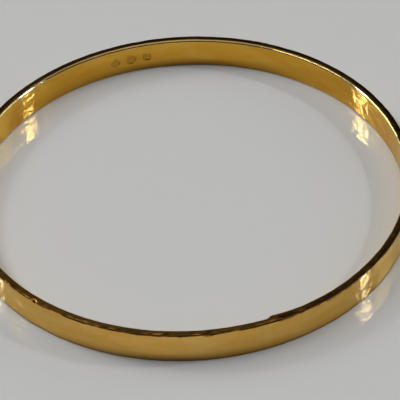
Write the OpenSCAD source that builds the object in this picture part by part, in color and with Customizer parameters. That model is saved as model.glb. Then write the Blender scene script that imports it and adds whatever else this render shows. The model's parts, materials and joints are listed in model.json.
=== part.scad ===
// Plain slip-on bangle: one flat strip, bent into a ring and closed by a soldered butt joint.
// The bangle lies flat. Z = 0 is the edge it rests on, and the Z axis runs through the wrist opening.

/* [Band] */
// Inside diameter, from wall to wall
inner_d = 65; // [56:0.5:74]
// Width of the strip, which is the bangle's height as it lies
band_w = 5; // [3:0.1:10]
// Thickness of the strip
band_t = 1.2; // [0.8:0.1:2.4]

/* [Edges] */
// Rounding of the two edges on the wrist side
inner_edge_r = 0.3; // [0.1:0.05:0.35]
// Rounding of the two outer edges, which are left crisp
outer_edge_r = 0.1; // [0.05:0.05:0.35]

/* [Soldered joint] */
// Width of the solder between the two ends of the strip
solder_w = 0.2; // [0.1:0.05:0.6]
// Where the joint is round the ring, in degrees from +X towards +Y
joint_angle = -72; // [-180:1:180]

/* [Punch marks] */
// How deep the blank marks go into the inner wall
mark_depth = 0.08; // [0.02:0.02:0.2]
// Size of one mark, from corner to corner
mark_size = 1.6; // [0.8:0.1:2]
// Distance between the marks' centres along the wall
mark_pitch = 2.6; // [2.2:0.1:5]
// Where the middle mark is round the ring, in degrees from +X towards +Y
mark_angle = 104; // [80:1:180]

/* [Hidden] */
$fn = 180;

inner_r = inner_d / 2;
outer_r = inner_r + band_t;
mid_r = inner_r + band_t / 2;
solder_span = asin(solder_w / mid_r);
mark_step = asin(mark_pitch / inner_r);
tool_reach = 1;
overlap = 0.05;

// What is filed off a square corner at the origin to leave a round edge of radius r
module corner_waste(r) {
    difference() {
        translate([-overlap, -overlap]) square(r + overlap);
        translate([r, r]) circle(r, $fn = 48);
    }
}

// Cross-section of the strip: X is the distance from the ring's axis, Y is the height
module strip_section() {
    difference() {
        translate([inner_r, 0]) square([band_t, band_w]);
        translate([inner_r, 0]) corner_waste(inner_edge_r);
        translate([inner_r, band_w]) mirror([0, 1]) corner_waste(inner_edge_r);
        translate([outer_r, 0]) mirror([1, 0]) corner_waste(outer_edge_r);
        translate([outer_r, band_w]) rotate(180) corner_waste(outer_edge_r);
    }
}

// The strip's section, swept round the ring's axis over the given angles
module bent_strip(start, span) {
    rotate([0, 0, start]) rotate_extrude(angle = span) strip_section();
}

// Moves a punch to the inner wall at the given angle, pointing outwards, at half the band's width
module at_inner_wall(angle) {
    rotate([0, 0, angle])
        translate([inner_r - tool_reach, 0, band_w / 2])
            rotate([0, 90, 0])
                children();
}

// A punch with the given number of sides, turned about its own axis
module punch(sides, turn) {
    rotate(turn) cylinder(d = mark_size, h = tool_reach + mark_depth, $fn = sides);
}

// Three marks without lettering, side by side: a lozenge, an octagon and a square
module blank_punches() {
    at_inner_wall(mark_angle + mark_step) punch(4, 0);
    at_inner_wall(mark_angle) punch(8, 22.5);
    at_inner_wall(mark_angle - mark_step) punch(4, 45);
}

// The gold strip, one turn long apart from the joint
module band_strip() {
    color("goldenrod")
        difference() {
            bent_strip(joint_angle + solder_span / 2, 360 - solder_span);
            blank_punches();
        }
}

// The solder that fills the joint, filed flush with the strip
module solder_seam() {
    color("palegoldenrod")
        bent_strip(joint_angle - solder_span / 2, solder_span);
}

band_strip();
solder_seam();
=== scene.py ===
import json
import math
import random

import bpy
import numpy as np
from mathutils import Matrix, Vector, noise


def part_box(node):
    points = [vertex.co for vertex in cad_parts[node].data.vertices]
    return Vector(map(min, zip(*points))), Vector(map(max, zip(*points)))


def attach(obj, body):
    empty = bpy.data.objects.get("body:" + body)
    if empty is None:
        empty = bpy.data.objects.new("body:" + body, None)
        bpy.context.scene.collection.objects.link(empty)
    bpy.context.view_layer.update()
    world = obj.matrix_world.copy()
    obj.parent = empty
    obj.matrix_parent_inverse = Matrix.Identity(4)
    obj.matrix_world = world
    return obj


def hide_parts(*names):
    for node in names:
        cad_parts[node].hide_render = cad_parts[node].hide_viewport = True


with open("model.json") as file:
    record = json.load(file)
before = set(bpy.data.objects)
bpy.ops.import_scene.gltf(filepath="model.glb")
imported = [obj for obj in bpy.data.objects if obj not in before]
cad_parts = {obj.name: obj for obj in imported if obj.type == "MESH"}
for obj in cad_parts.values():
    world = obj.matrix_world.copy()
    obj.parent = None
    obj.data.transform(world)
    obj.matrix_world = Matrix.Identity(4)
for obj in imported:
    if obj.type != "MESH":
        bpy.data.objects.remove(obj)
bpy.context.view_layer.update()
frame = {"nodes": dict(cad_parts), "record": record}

# ---------------------------------------------------------------- sizes, in metres, from the frame
MM = 0.001
STRIP_LOW, STRIP_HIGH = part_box("band_strip")
MOUNTS = {m["name"]: m for m in frame["record"]["mounts"]}
OUTER_R = STRIP_HIGH.x
INNER_R = MOUNTS["wrist_opening"]["dims"]["r_mm"] * MM
BAND_W = STRIP_HIGH.z - STRIP_LOW.z
INNER_EDGE_R = (BAND_W - MOUNTS["wrist_opening"]["dims"]["length_mm"] * MM) / 2
OUTER_EDGE_R = 0.1 * MM
TOP_OUTER_EDGE_R = 0.06 * MM

# the rubbed inner corner: the direction it faces where it is flattest, how far round that reaches, both in
# degrees from straight out, how much flatter it is there, and how many points it is drawn with
FLAT_TURN = 122
FLAT_SPAN = 14
FLATNESS = 2.5
WORN_CORNER_POINTS = 10

# places round the ring, in degrees from +X towards +Y: the middle mark, where the top edge's painted shade is
# widest and darkest, and the deepest nick
MARK_ANGLE = 104
PAINTED_TOP_SHADE_ANGLE = -20
NICK_ANGLE = 228.5

# the blank marks: distance between their centres, size, depth and the width of their sloping sides
MARK_PITCH = 2.6 * MM
MARK_SIZE = 1.6 * MM
MARK_DEPTH = 0.09 * MM
MARK_SLOPE = 0.14 * MM

# how far apart the band's sections are along its outer wall, and how far from the marks' centre and from the
# joint they are set finely
STATION_STEP = 0.22 * MM
FINE_STEP = 0.1 * MM
MARKS_REACH = 4.5 * MM
JOINT_REACH = 3 * MM

# the small step beside the joint: how far each end of the strip stands off, and how soon that fades along it
JOINT_STEP_IN = 0.28 * MM
JOINT_STEP_OUT = 0.1 * MM
STEP_IN_FADE = 3.2 * MM
STEP_OUT_FADE = 3.0 * MM


def node_angles(node):
    """The lowest and highest angle round the ring that a small CAD node reaches."""
    angles = [math.atan2(v.co.y, v.co.x) for v in frame["nodes"][node].data.vertices]
    return min(angles), max(angles)


JOINT_LOW, JOINT_HIGH = node_angles("solder_seam")
JOINT_ANGLE = (JOINT_LOW + JOINT_HIGH) / 2


# ---------------------------------------------------------------- the strip's cross-section
def straight(start, end, count, crowding=1.0):
    """Points from start up to, but without, end. With crowding 1 they are closest together at both ends."""
    even = [i / count for i in range(count)]
    crowded = [(1 - math.cos(math.pi * t)) / 2 for t in even]
    return [Vector(start).lerp(Vector(end), crowding * c + (1 - crowding) * t) for c, t in zip(crowded, even)]


def corner(centre, radius, from_deg, count):
    """Points of a quarter circle, without its last one."""
    angles = [math.radians(from_deg + 90 * i / count) for i in range(count)]
    return [Vector(centre) + radius * Vector((math.cos(a), math.sin(a))) for a in angles]


def worn_corner(start, drop, count):
    """The rubbed corner that goes inward and down by drop from start, flattest where it faces FLAT_TURN.
    Returns its points and how far inward it reaches."""
    finer = 8
    turns = [math.radians(90 + 90 * i / (finer * count)) for i in range(finer * count + 1)]
    steps = []
    for turn in turns[:-1]:
        off = (math.degrees(turn) - FLAT_TURN) / FLAT_SPAN
        steps.append(1 + FLATNESS * math.exp(-off * off))
    scale = drop / sum(w * -math.cos(t) for w, t in zip(steps, turns))
    places = [Vector((0, 0))]
    for w, t in zip(steps, turns):
        places.append(places[-1] + scale * w * Vector((-math.sin(t), math.cos(t))))
    return [Vector(start) + p for p in places[:-1:finer]], -places[-1].x


def section_outline():
    """(distance from the axis, height) of the section's points, anticlockwise from the lower outer corner."""
    r_in, r_out = INNER_R, OUTER_R
    e_in, e_out, e_top = INNER_EDGE_R, OUTER_EDGE_R, TOP_OUTER_EDGE_R
    _, reach = worn_corner((0, 0), e_in, WORN_CORNER_POINTS)
    top_corner, _ = worn_corner((r_in + reach, BAND_W), e_in, WORN_CORNER_POINTS)
    return (
        corner((r_out - e_out, e_out), e_out, -90, 3)
        + straight((r_out, e_out), (r_out, BAND_W - e_top), 16)
        + corner((r_out - e_top, BAND_W - e_top), e_top, 0, 4)
        + straight((r_out - e_top, BAND_W), (r_in + reach, BAND_W), 5)
        + top_corner
        + straight((r_in, BAND_W - e_in), (r_in, e_in), 38, 0.25)
        + corner((r_in + e_in, e_in), e_in, 180, 4)
        + straight((r_in + e_in, 0), (r_out - e_out, 0), 2)
    )


def outline_lengths(outline):
    """How far along the outline each of its points is, in millimetres, and its whole length last."""
    lengths = [0.0]
    for a, b in zip(outline, outline[1:] + outline[:1]):
        lengths.append(lengths[-1] + (b - a).length / MM)
    return lengths


OUTLINE = section_outline()


def outline_place(point):
    """How far along the outline its point nearest to the given one is, in millimetres."""
    pairs = zip(OUTLINE, outline_lengths(OUTLINE))
    return min(pairs, key=lambda pair: (pair[0] - Vector(point)).length)[1]


# where the outer wall, the flat top edge and the rubbed corner end, along the section's outline
TOP_EDGE_V = outline_place((OUTER_R, BAND_W))
RUBBED_EDGE_V = outline_place((INNER_R + INNER_EDGE_R, BAND_W))
INNER_WALL_V = outline_place((INNER_R, BAND_W - INNER_EDGE_R))


# ---------------------------------------------------------------- wear, hand work and painted shade on the strip
def smooth(t):
    """0 below 0, 1 above 1, and a smooth ramp between them."""
    t = np.clip(t, 0, 1)
    return t * t * (3 - 2 * t)


def ripple(angle, height, scale, seed):
    """Smooth noise on the ring's wall, about -1 to 1. scale is the size of its bumps, in metres."""
    r = OUTER_R / scale
    return noise.noise(Vector((r * math.cos(angle), r * math.sin(angle), height / scale + seed)))


class Dent:
    """A small facet worn into a corner that runs round the ring."""

    def __init__(self, angle, width, depth, tilt_deg):
        self.angle, self.width, self.depth = angle, width, depth
        tilt = math.radians(tilt_deg)
        self.normal = Vector((math.cos(tilt), math.sin(tilt)))

    def depth_at(self, angle):
        """How deep the facet is at an angle round the ring, and 0 past its ends."""
        away = abs((angle - self.angle + math.pi) % (2 * math.pi) - math.pi) * OUTER_R / self.width
        return self.depth * float(smooth(1.5 * (1 - away)))


def random_dents(rng, count, width, depth, tilt, span=(-180, 180)):
    """Dents at random places in a span of the ring, with sizes between the given limits."""
    low, high = (math.radians(a) for a in span)
    return [
        Dent(rng.uniform(low, high), rng.uniform(*width), rng.uniform(*depth), rng.uniform(*tilt))
        for _ in range(count)
    ]


RNG = random.Random(7)
TOP_OUTER = Vector((OUTER_R, BAND_W))
TOP_INNER = Vector((INNER_R, BAND_W))
LOW_OUTER = Vector((OUTER_R, 0))
NICK = Dent(math.radians(NICK_ANGLE), 0.5 * MM, 0.3 * MM, 40)
OUTER_DENTS = (
    random_dents(RNG, 45, (0.6 * MM, 1.6 * MM), (0.06 * MM, 0.14 * MM), (35, 50), (-150, -62))
    + random_dents(RNG, 25, (0.8 * MM, 2 * MM), (0.03 * MM, 0.06 * MM), (35, 50), (0, 180))
    + [NICK]
)
INNER_DENTS = random_dents(RNG, 14, (0.5 * MM, 1.2 * MM), (0.08 * MM, 0.14 * MM), (120, 150))
LOW_DENTS = random_dents(RNG, 60, (0.5 * MM, 1.2 * MM), (0.04 * MM, 0.09 * MM), (-55, -35))


def mark_outline(kind, x, z):
    """How far inside a blank mark's outline a point is, in metres. x and z are from the mark's centre."""
    half = MARK_SIZE / 2
    if kind == "lozenge":
        return (half - abs(x) - abs(z)) * math.sqrt(0.5)
    if kind == "octagon":
        return half * math.cos(math.pi / 8) - max(abs(x), abs(z), (abs(x) + abs(z)) * math.sqrt(0.5))
    return half * math.sqrt(0.5) - max(abs(x), abs(z))


def mark_depth_at(angle, height):
    """Depth of the three blank punch marks, worn soft, at a point of the inner wall."""
    along = (angle - math.radians(MARK_ANGLE)) * INNER_R
    depth = 0.0
    for kind, place in (("square", -MARK_PITCH), ("octagon", 0.0), ("lozenge", MARK_PITCH)):
        inside = mark_outline(kind, along - place, height - BAND_W / 2)
        depth += MARK_DEPTH * float(smooth(0.5 + inside / MARK_SLOPE))
    return depth


def joint_shift(angle):
    """How far the strip's inner edge stands in (negative) or out beside the soldered joint."""
    past = (angle - JOINT_ANGLE) * OUTER_R
    if past > 0:
        return -JOINT_STEP_IN * math.exp(-((past / STEP_IN_FADE) ** 2)) * float(smooth(past / (0.5 * MM)))
    return JOINT_STEP_OUT * math.exp(-((past / STEP_OUT_FADE) ** 2)) * float(smooth(-past / (0.3 * MM)))


# hand-hammered unevenness of the walls and of the top edge: (size, scale, seed)
WALL_WAVES = ((0.02 * MM, 11 * MM, 3), (0.018 * MM, 3 * MM, 17), (0.03 * MM, 1.25 * MM, 44))
TOP_WAVE = (0.012 * MM, 5 * MM, 31)


def on_inner_wall(r):
    """Whether a section point at distance r from the axis is on the inner wall."""
    return r < INNER_R + 0.01 * MM


def top_painted_shade_at(angle, r, z):
    """Painted shade on the top edge, as brown: a ragged line at its outer corner, and a fainter stretch on
    its flat, darkest toward the front where the edge shows a dark reflection.
    """
    toward_shadiest = math.cos(angle - math.radians(PAINTED_TOP_SHADE_ANGLE))
    edge = BAND_W - z + 0.5 * (OUTER_R - r)
    width = 0.12 * MM + 0.12 * MM * toward_shadiest
    ragged = width + 0.16 * MM * ripple(angle, 0, 3.4 * MM, 5) + 0.18 * MM * ripple(angle, z, 1.1 * MM, 9)
    line = 1 - smooth((edge - ragged) / (0.08 * MM) + 0.5)
    on_top = z > BAND_W - 0.01 * MM and r > INNER_R + 1.2 * INNER_EDGE_R
    # painted shade: the line and the flat's stretch darken the edge most toward the front, and dull lamp
    # glints there
    return max(line, 0.6 * smooth((toward_shadiest - 0.5) / 0.3) if on_top else 0)


def foot_painted_shade_at(angle, r, z):
    """Painted shade at the foot, as brown: a thin line on the outer wall, and a high one at front and back on
    both, where the walls reflect the shadowed table at their foot.
    """
    # painted shade: brown where the walls reflect the shadowed table at their foot, deepest at front and back
    high = 0.8 * math.sin(angle) ** 6
    thin = (1 - high) * float(smooth((r - INNER_R) / (OUTER_R - INNER_R)))
    return thin * (1 - smooth(z / (0.6 * MM))) + high * (1 - smooth(z / (1.8 * MM)))


def mark_brown_at(angle, r, z):
    """How brown the blank marks are: a little on their floors, and most on their sloping sides."""
    sunk = mark_depth_at(angle, z) / MARK_DEPTH if on_inner_wall(r) else 0
    return max(0.3 * sunk, 4 * sunk * (1 - sunk))


def painted_shade_and_mark_brown_at(angle, p):
    """How brown a section point is, 0 to 1: painted shade at the top edge and the foot, and the marks' brown.
    """
    return float(max(brown(angle, p.x, p.y) for brown in (top_painted_shade_at, foot_painted_shade_at, mark_brown_at)))


def facets_at(angle):
    """The facets that wear has left in the section at an angle: (corner, facet's normal, depth)."""
    found = []
    dented = ((TOP_OUTER, OUTER_DENTS), (TOP_INNER, INNER_DENTS), (LOW_OUTER, LOW_DENTS))
    for corner_point, dents in dented:
        for dent in dents:
            depth = dent.depth_at(angle)
            if depth > 0:
                found.append((corner_point, dent.normal, depth))
    return found


def shape_at(angle):
    """A function that gives a section point's place at an angle, as (distance from the axis, height)."""
    facets = facets_at(angle)
    shift = joint_shift(angle)
    top_size, top_scale, top_seed = TOP_WAVE

    def place(p):
        r, z = p
        q = Vector((r, z))
        for corner_point, normal, depth in facets:
            past = (q - corner_point).dot(normal) + depth
            if past > 0:
                q -= past * normal
        inner = float(smooth((OUTER_R - r) / (OUTER_R - INNER_R)))
        top = float(smooth((z / BAND_W - 0.8) / 0.2))
        for size, scale, seed in WALL_WAVES:
            q.x += size * ripple(angle, z, scale, seed)
        q.x += inner * shift
        q.y += top_size * ripple(angle, r, top_scale, top_seed) * top
        if on_inner_wall(r):
            q.x += mark_depth_at(angle, z)
        return q

    return place


# ---------------------------------------------------------------- meshes
def add_object(name, data):
    """Puts a new object with the given data in the scene."""
    added = bpy.data.objects.new(name, data)
    bpy.context.scene.collection.objects.link(added)
    return added


def stations(start, end, step, fine_step, fine_spans):
    """Angles from start to end: step apart in metres on the outer wall, and fine_step in fine_spans."""
    angles, here = [], start
    while here < end:
        angles.append(here)
        fine = any(low <= here <= high for low, high in fine_spans)
        here += (fine_step if fine else step) / OUTER_R
    if end - angles[-1] < 0.3 * fine_step / OUTER_R:
        angles.pop()
    return angles + [end]


def swept_mesh(name, angles, outline, place_at):
    """A closed solid: the outline swept through the angles, with a flat cap at each end.
    place_at(angle) gives the function that puts an outline point in its finished place."""
    verts, faces = [], []
    n = len(outline)
    for a in angles:
        place = place_at(a)
        for p in outline:
            q = place(p)
            verts.append((q.x * math.cos(a), q.x * math.sin(a), q.y))
    for i in range(len(angles) - 1):
        for j in range(n):
            k = (j + 1) % n
            faces.append((i * n + j, (i + 1) * n + j, (i + 1) * n + k, i * n + k))
    faces.append(tuple(reversed(range(n))))
    last = (len(angles) - 1) * n
    faces.append(tuple(range(last, last + n)))
    mesh = bpy.data.meshes.new(name)
    mesh.from_pydata(verts, [], faces)
    mesh.update()
    return add_object(name, mesh)


def wrap_uv(piece, angles, outline):
    """A UV map in millimetres: U runs along the strip and V runs round its section."""
    lengths = outline_lengths(outline)
    along = [a * OUTER_R / MM for a in angles]
    n = len(outline)
    layer = piece.data.uv_layers.new(name="Wrap")
    for face in piece.data.polygons:
        if len(face.vertices) != 4:
            continue
        corners = [(v // n, v % n) for v in face.vertices]
        wraps = any(j == n - 1 for _, j in corners) and any(j == 0 for _, j in corners)
        for loop, (i, j) in zip(face.loop_indices, corners):
            layer.data[loop].uv = (along[i], lengths[n] if wraps and j == 0 else lengths[j])


def add_painted_shade_and_mark_brown(piece, angles, outline):
    """A value on each point for how brown the metal is there: painted shade at the top edge and foot, and the
    marks' brown.
    """
    values = [painted_shade_and_mark_brown_at(a, p) for a in angles for p in outline]
    layer = piece.data.attributes.new("painted_shade_and_mark_brown", "FLOAT", "POINT")
    layer.data.foreach_set("value", values)


def finish_mesh(piece):
    """Smooth shading, with flat caps that meet the rest at sharp edges."""
    caps = [f.index for f in piece.data.polygons if len(f.vertices) != 4]
    piece.data.polygons.foreach_set("use_smooth", [True] * len(piece.data.polygons))
    for index in caps:
        piece.data.polygons[index].use_smooth = False
        for loop in piece.data.polygons[index].loop_indices:
            piece.data.edges[piece.data.loops[loop].edge_index].use_edge_sharp = True


def make_band():
    """The bent gold strip, from one side of the soldered joint round to the other."""
    mark = math.radians(MARK_ANGLE)
    marks_reach = MARKS_REACH / INNER_R
    joint_reach = JOINT_REACH / OUTER_R
    turn = 2 * math.pi
    end = JOINT_LOW + turn
    fine = [
        (mark - marks_reach, mark + marks_reach),
        (JOINT_HIGH, JOINT_HIGH + joint_reach),
        (end - joint_reach, end),
    ]
    angles = stations(JOINT_HIGH, end, STATION_STEP, FINE_STEP, fine)

    def place_at(a):
        return shape_at(a - turn if a > JOINT_ANGLE + math.pi else a)

    band = swept_mesh("band", angles, OUTLINE, place_at)
    wrap_uv(band, angles, OUTLINE)
    add_painted_shade_and_mark_brown(band, angles, OUTLINE)
    finish_mesh(band)
    return band


def make_solder():
    """The solder that fills the joint. It meets the strip's two ends, and sinks a hair between them."""
    steps = 8
    deepest = 0.008 * MM
    angles = [JOINT_LOW + (JOINT_HIGH - JOINT_LOW) * i / steps for i in range(steps + 1)]
    middle = Vector(((INNER_R + OUTER_R) / 2, BAND_W / 2))

    low_end, high_end = shape_at(JOINT_LOW), shape_at(JOINT_HIGH)

    def place_at(a):
        t = (a - JOINT_LOW) / (JOINT_HIGH - JOINT_LOW)
        sink = deepest * math.sin(math.pi * t)

        def place(p):
            q = low_end(p).lerp(high_end(p), float(smooth(t)))
            return q + (middle - q).normalized() * sink

        return place

    solder = swept_mesh("solder", angles, OUTLINE, place_at)
    wrap_uv(solder, angles, OUTLINE)
    add_painted_shade_and_mark_brown(solder, angles, OUTLINE)
    finish_mesh(solder)
    return solder


# ---------------------------------------------------------------- materials
def node_maker(material):
    """Returns (add, link): add a node with its settings, and link one socket to another."""
    tree = material.node_tree

    def add(kind, **settings):
        node = tree.nodes.new(kind)
        for key, value in settings.items():
            if key in node.inputs:
                node.inputs[key].default_value = value
            else:
                setattr(node, key, value)
        return node

    return add, tree.links.new


def wrapped_noise(add, link, density, shift, detail, turn=0):
    """Noise on the wrapped strip. density is the bumps in a millimetre, along the strip and across it."""
    uv = add("ShaderNodeUVMap", uv_map="Wrap")
    mapping = add("ShaderNodeMapping")
    mapping.inputs["Scale"].default_value = (*density, 1)
    mapping.inputs["Location"].default_value = (*shift, 0)
    mapping.inputs["Rotation"].default_value = (0, 0, turn)
    tex = add("ShaderNodeTexNoise", **{"Scale": 1.0, "Detail": detail, "Roughness": 0.55})
    link(uv.outputs["UV"], mapping.inputs["Vector"])
    link(mapping.outputs["Vector"], tex.inputs["Vector"])
    return tex.outputs["Fac"]


def ramped(add, link, value, low, high, start=0.0, end=1.0):
    """A socket's value, mapped so that low to high becomes start to end."""
    ends = {"From Min": low, "From Max": high, "To Min": start, "To Max": end}
    ramp = add("ShaderNodeMapRange", **ends)
    link(value, ramp.inputs["Value"])
    return ramp.outputs["Result"]


def mixed(add, link, factor, first, then):
    """The colour first where factor is 0, and then where it is 1. Each is a socket or three numbers."""
    mix = add("ShaderNodeMix", data_type="RGBA")
    link(factor, mix.inputs["Factor"])
    for end, colour in (("A", first), ("B", then)):
        if isinstance(colour, tuple):
            mix.inputs[end].default_value = (*colour, 1)
        else:
            link(colour, mix.inputs[end])
    return mix.outputs["Result"]


def weighted_sum(add, link, terms):
    """The sum of (socket, weight) terms."""
    total = None
    for source, weight in terms:
        part = add("ShaderNodeMath", operation="MULTIPLY")
        part.inputs[1].default_value = weight
        link(source, part.inputs[0])
        if total is None:
            total = part.outputs["Value"]
            continue
        sum_node = add("ShaderNodeMath", operation="ADD")
        link(total, sum_node.inputs[0])
        link(part.outputs["Value"], sum_node.inputs[1])
        total = sum_node.outputs["Value"]
    return total


def gold_colour(add, link, tones):
    """Gold that drifts between two tones, with a pair for each face of the strip that differ as painted light
    and shade, browned by painted shade and the marks' brown.
    """
    drift = ramped(add, link, wrapped_noise(add, link, (0.16, 0.5), (3, 7), 3), 0.35, 0.65)
    uv = add("ShaderNodeUVMap", uv_map="Wrap")
    split = add("ShaderNodeSeparateXYZ")
    link(uv.outputs["UV"], split.inputs["Vector"])
    # each face has its own pair of tones, painted light and shade: the rubbed corner paler, the top and inner
    # wall deeper
    faces = [mixed(add, link, drift, deep, pale) for deep, pale in tones]
    before_brown = faces[0]
    for place, face in zip((TOP_EDGE_V, RUBBED_EDGE_V, INNER_WALL_V), faces[1:]):
        past = ramped(add, link, split.outputs["Y"], place - FACE_BLEND, place + FACE_BLEND)
        before_brown = mixed(add, link, past, before_brown, face)
    painted_shade_and_mark_brown = add("ShaderNodeAttribute", attribute_name="painted_shade_and_mark_brown")
    # painted shade at the top edge and foot, and the marks' brown, mixed over the gold
    return mixed(add, link, painted_shade_and_mark_brown.outputs["Fac"], before_brown, SHADE_AND_MARK_BROWN)


def gold_relief(add, link, height):
    """Fine lines, hairline scratches, pitting and dimples, whose depth goes with height, in metres."""
    lines = wrapped_noise(add, link, (0.35, 14), (0, 0), 5)
    hairs = wrapped_noise(add, link, (0.5, 16), (5, 3), 2, turn=0.5)
    pits = wrapped_noise(add, link, (2.2, 2.2), (1, 9), 3)
    dimples = wrapped_noise(add, link, (0.8, 1.1), (8, 4), 1)
    bump = add("ShaderNodeBump", **{"Strength": 1.0, "Distance": height})
    terms = ((lines, 1.0), (hairs, 0.5), (pits, 4.0), (dimples, 20.0))
    link(weighted_sum(add, link, terms), bump.inputs["Height"])
    return bump.outputs["Normal"]


def metal(name, tones, roughness, relief_height):
    """Polished gold, with clouded polish, a worn relief, and light and shade painted into its colour."""
    material = bpy.data.materials.new(name)
    material.use_nodes = True
    shader = material.node_tree.nodes["Principled BSDF"]
    shader.inputs["Metallic"].default_value = 1.0
    shader.inputs["Specular Tint"].default_value = (*GRAZING_TINT, 1)
    add, link = node_maker(material)
    cloud = wrapped_noise(add, link, (0.35, 0.9), (11, 2), 4)
    polish = ramped(add, link, cloud, 0.3, 0.7, roughness * 0.7, roughness * 1.5)
    link(gold_colour(add, link, tones), shader.inputs["Base Color"])
    link(polish, shader.inputs["Roughness"])
    link(gold_relief(add, link, relief_height), shader.inputs["Normal"])
    return material


def floor_material():
    """A plain pale table with a soft gloss."""
    material = bpy.data.materials.new("table_grey")
    material.use_nodes = True
    shader = material.node_tree.nodes["Principled BSDF"]
    shader.inputs["Roughness"].default_value = 0.045
    shader.inputs["Specular IOR Level"].default_value = 1.0
    shader.inputs["Base Color"].default_value = (0.62, 0.62, 0.615, 1)
    return material


# ---------------------------------------------------------------- stage, lights and camera
def make_floor():
    """A square table top, at the height of the ring's foot."""
    half = 1.5
    corners = [(-half, -half, 0), (half, -half, 0), (half, half, 0), (-half, half, 0)]
    mesh = bpy.data.meshes.new("table")
    mesh.from_pydata(corners, [], [(0, 1, 2, 3)])
    mesh.materials.append(floor_material())
    floor = add_object("table", mesh)


def direction(azimuth, elevation):
    """The unit vector toward an azimuth, from +X toward +Y, and an elevation, both in degrees."""
    az, el = math.radians(azimuth), math.radians(elevation)
    return Vector((math.cos(el) * math.cos(az), math.cos(el) * math.sin(az), math.sin(el)))


# tints of the light that the gold mirrors, which keep its highlights pale
PALE = (0.85, 1.0, 0.95)
COOL = (0.8, 1.0, 1.8)

# how much farther away the light on matte surfaces is than the mirrored one, because two lights at one place
# would hide each other
MATTE_SETBACK = 0.01


def area_light(name, ends, distance, depth, matte_watts, mirrored_watts, tint=PALE):
    """A rectangular soft light that faces the bangle, with its middle line between two (azimuth, elevation)
    ends. It lights matte surfaces with one power, and polished ones mirror it with another."""
    start, end = (direction(*e) for e in ends)
    away = (start + end).normalized()
    along = (end - start).normalized()
    kinds = (("matte", matte_watts, distance + MATTE_SETBACK), ("mirrored", mirrored_watts, distance))
    for kind, watts, place in kinds:
        if watts == 0:
            continue
        data = bpy.data.lights.new(name + "_" + kind, "AREA")
        data.shape = "RECTANGLE"
        data.size, data.size_y = (end - start).length * distance, depth
        data.energy = watts
        data.color = tint if kind == "mirrored" else (1, 1, 1)
        light = add_object(data.name, data)
        turn = Matrix((along, away.cross(along), away)).transposed().to_4x4()
        light.matrix_world = Matrix.Translation(away * place) @ turn
        light.visible_diffuse = kind == "matte"
        light.visible_glossy = kind == "mirrored"


def make_world():
    """A dim room with one soft glow overhead, toward the back."""
    world = bpy.data.worlds.new("soft_room")
    bpy.context.scene.world = world
    world.use_nodes = True
    tree = world.node_tree
    tree.nodes["Background"].inputs["Strength"].default_value = 1.0
    coords = tree.nodes.new("ShaderNodeTexCoord")
    toward_glow = tree.nodes.new("ShaderNodeVectorMath")
    toward_glow.operation = "DOT_PRODUCT"
    toward_glow.inputs[1].default_value = direction(90, 84)
    ramp = tree.nodes.new("ShaderNodeValToRGB")
    ramp.color_ramp.interpolation = "EASE"
    stops = ((0.0, 0.05), (0.5, 0.05), (0.66, 0.015), (0.7, 0.02), (0.79, 0.08), (0.93, 0.35), (1.0, 0.5))
    elements = ramp.color_ramp.elements
    while len(elements) < len(stops):
        elements.new(0.5)
    for element, (position, level) in zip(elements, stops):
        element.position = position
        element.color = (level, level, level, 1)
    tree.links.new(coords.outputs["Generated"], toward_glow.inputs[0])
    tree.links.new(toward_glow.outputs["Value"], ramp.inputs["Fac"])
    tree.links.new(ramp.outputs["Color"], tree.nodes["Background"].inputs["Color"])


def make_camera():
    """A long lens in front of the bangle and above it, held with a slight roll."""
    back, up = 6.71 * OUTER_R, 5.99 * OUTER_R
    # in radians: down from level, towards +X from straight ahead, and about the line of sight
    tilt, pan, roll = 0.72975, 0.0079, -0.0523
    data = bpy.data.cameras.new("camera")
    data.sensor_width = 36
    data.lens = 181.2
    data.clip_start = 0.01
    forward = Vector((math.sin(pan) * math.cos(tilt), math.cos(pan) * math.cos(tilt), -math.sin(tilt)))
    right = forward.cross(Vector((0, 0, 1))).normalized()
    above = right.cross(forward)
    side = math.cos(roll) * right + math.sin(roll) * above
    top = math.cos(roll) * above - math.sin(roll) * right
    turn = Matrix((side, top, -forward)).transposed().to_4x4()
    camera = add_object("camera", data)
    camera.matrix_world = Matrix.Translation((0, -back, up)) @ turn
    bpy.context.scene.camera = camera


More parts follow.
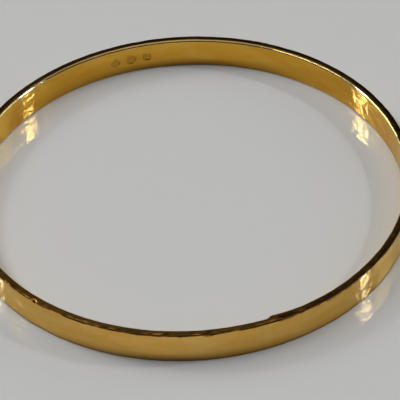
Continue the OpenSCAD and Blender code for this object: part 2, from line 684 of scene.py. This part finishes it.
# ---------------------------------------------------------------- build
# the deeper and paler tone of each face, from the outer wall over the top to the inner wall; the faces differ
# as
# painted light and shade: the rubbed corner paler, a painted highlight, and the top and inner wall deeper,
# painted shade
GOLD_TONES = (
    ((0.8, 0.45, 0.09), (0.84, 0.52, 0.14)),
    ((0.78, 0.36, 0.07), (0.82, 0.42, 0.1)),
    ((0.8, 0.53, 0.18), (0.84, 0.6, 0.25)),
    ((0.73, 0.365, 0.034), (0.77, 0.435, 0.06)),
)
# the brown of the painted shade at the top edge and the foot, and of the blank marks
SHADE_AND_MARK_BROWN = (0.2, 0.1, 0.025)
# half the width over which one face's tones turn into the next one's, in millimetres
FACE_BLEND = 0.06
# what keeps the gold yellow where it is seen almost edge-on
GRAZING_TINT = (1.0, 1.0, 0.85)

band = make_band()
band.data.materials.append(metal("yellow_gold", GOLD_TONES, 0.075, 0.002 * MM))
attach(band, "root")
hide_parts("band_strip")

solder = make_solder()
solder.data.materials.append(metal("gold_solder", GOLD_TONES, 0.16, 0.003 * MM))
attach(solder, "root")
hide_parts("solder_seam")

make_floor()
make_world()
# each light's name, ends, distance and depth in metres, and power in watts on matte surfaces and as mirrored
area_light("overhead", ((180, 72), (0, 72)), 0.95, 0.6, 1.3, 0)
area_light("front_fill", ((-110, 45), (-70, 45)), 0.8, 0.4, 0.5, 0)
area_light("right_fill", ((15, 25), (-15, 25)), 0.8, 0.4, 0.8, 0.3)
area_light("left_back", ((135, 25), (165, 25)), 0.8, 0.4, 0.66, 1.3)
area_light("right_back", ((45, 25), (15, 25)), 0.8, 0.4, 0.75, 0.6)
area_light("left_window", ((138, 28), (198, 62)), 0.8, 0.08, 2.55, 0)
area_light("left_edge", ((163, 46), (198, 62)), 0.8, 0.08, 0, 0.5)
area_light("right_edge", ((42, 28), (17, 46)), 0.8, 0.08, 0, 0.2)
area_light("left_lamp", ((157.3, 40.5), (155.1, 40.5)), 0.78, 0.035, 0.46, 3.6, COOL)
area_light("right_lamp", ((5.1, 41.5), (3.3, 41.5)), 0.78, 0.03, 0.88, 3.2, COOL)
make_camera()

view = bpy.context.scene.view_settings
view.view_transform = "Standard"
